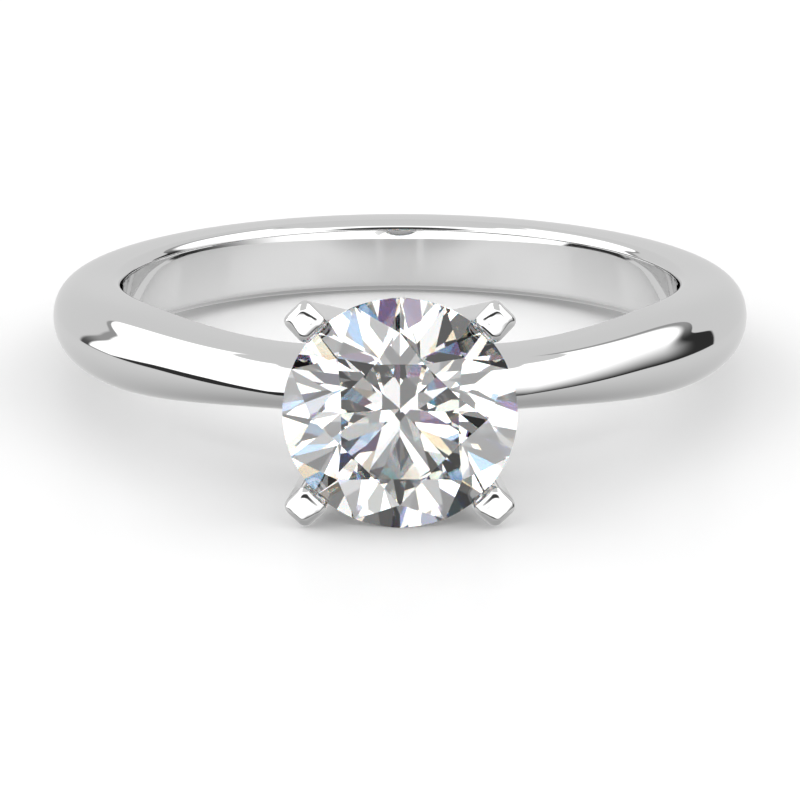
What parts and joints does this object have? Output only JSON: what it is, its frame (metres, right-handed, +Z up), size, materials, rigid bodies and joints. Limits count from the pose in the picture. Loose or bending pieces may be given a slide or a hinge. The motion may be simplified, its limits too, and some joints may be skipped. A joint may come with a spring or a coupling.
{
  "type": "engagement ring",
  "caption": "Four-claw solitaire ring in polished white metal with a round brilliant, lying at rest on its band and lower claws.",
  "frame": {"origin": "centre of the finger hole, on its axis, at the middle of the band's width", "axes": "the stone faces -Y, +X is to the right of the stone, and +Z is up from the level surface that the ring lies on, so the finger hole's axis leans back by 5.72 degrees from +Z towards +Y"},
  "size_m": [0.0206, 0.0246, 0.0066],
  "materials": {
    "platinum": "polished",
    "diamond": "polished"
  },
  "bodies": {
    "root": {"shank": "platinum", "collet": "platinum", "gallery_rail": "platinum", "claw_upper_left": "platinum", "claw_upper_right": "platinum", "claw_lower_left": "platinum", "claw_lower_right": "platinum", "diamond": "diamond"}
  },
  "joints": []
}
